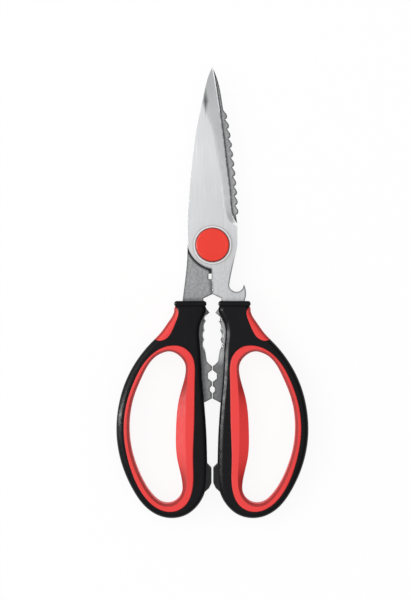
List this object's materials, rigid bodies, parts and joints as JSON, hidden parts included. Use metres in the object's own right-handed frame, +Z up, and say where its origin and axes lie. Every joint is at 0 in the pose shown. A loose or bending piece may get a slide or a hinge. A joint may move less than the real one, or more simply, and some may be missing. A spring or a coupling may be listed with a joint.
{
  "type": "kitchen shears",
  "caption": "Multi-purpose kitchen shears: crossed steel blades on a capped pivot, fish scaler spine, bottle opener, nutcracker jaws and soft-lined finger loops.",
  "frame": {"origin": "on the pivot's axis, in the plane that the closed shears lie on: the centre of the rear cap's flat face", "axes": "+X across towards the grip of the front blade, +Y along the blades to the tip, +Z up out of the front face"},
  "size_m": [0.094, 0.2213, 0.0131],
  "materials": {
    "blade_steel": "satin stainless steel, brushed along the blade",
    "pivot_steel": "bright turned stainless steel",
    "cap_red": "satin moulded plastic",
    "grip_black": "satin moulded plastic with a fine grain",
    "soft_red": "soft-touch thermoplastic rubber, satin",
    "bumper_black": "matt rubber"
  },
  "bodies": {
    "rear_half": {"rear_blade": "blade_steel", "pivot_nut": "pivot_steel", "pivot_screw": "pivot_steel", "pivot_spring_washer": "pivot_steel", "front_seat_washer": "pivot_steel", "rear_seat_washer": "pivot_steel", "front_cap": "cap_red", "rear_cap": "cap_red", "left_grip": "grip_black", "left_liner": "soft_red", "left_shoulder_pad": "soft_red", "left_bumper": "bumper_black"},
    "front_half": {"front_blade": "blade_steel", "right_grip": "grip_black", "right_liner": "soft_red", "right_shoulder_pad": "soft_red", "right_bumper": "bumper_black"}
  },
  "joints": [
    {"name": "blade_pivot", "type": "hinge", "parent": "rear_half", "child": "front_half", "pos_m": [0, 0, 0.0065], "axis": [0, 0, 1], "range_deg": [-0.3, 90]}
  ]
}
